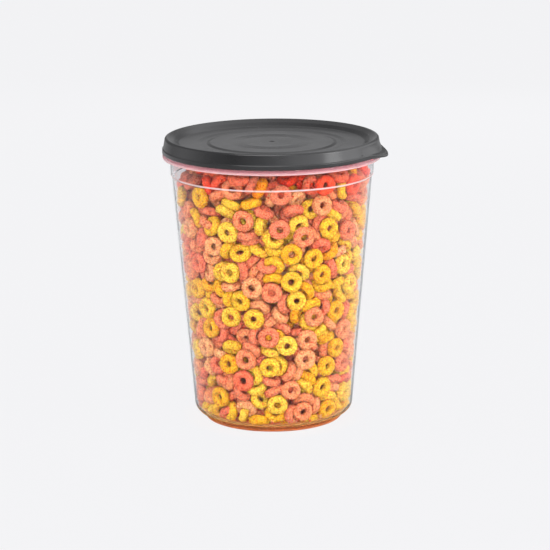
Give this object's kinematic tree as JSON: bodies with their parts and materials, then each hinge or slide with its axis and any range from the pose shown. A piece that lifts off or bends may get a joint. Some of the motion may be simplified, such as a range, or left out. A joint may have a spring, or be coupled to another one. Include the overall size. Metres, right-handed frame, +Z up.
{
  "type": "food canister",
  "caption": "Clear tapered food tub with a turned-down collar and a press-on lid, which has a pull tab and a stacking groove and lifts off.",
  "frame": {"origin": "centre of the ring-shaped foot, on the plane that the canister stands on", "axes": "+Z up along the axis of the tub, +X towards the middle of the lid's pull tab"},
  "size_m": [0.1537, 0.1488, 0.1952],
  "materials": {
    "clear_plastic": "clear, gloss",
    "lid_plastic": "matte, opaque"
  },
  "bodies": {
    "tub": {"tub": "clear_plastic"},
    "lid": {"lid": "lid_plastic"}
  },
  "joints": [
    {"name": "lid_lift", "type": "slide", "parent": "tub", "child": "lid", "axis": [0, 0, 1], "range_m": [0, 0.1]}
  ]
}
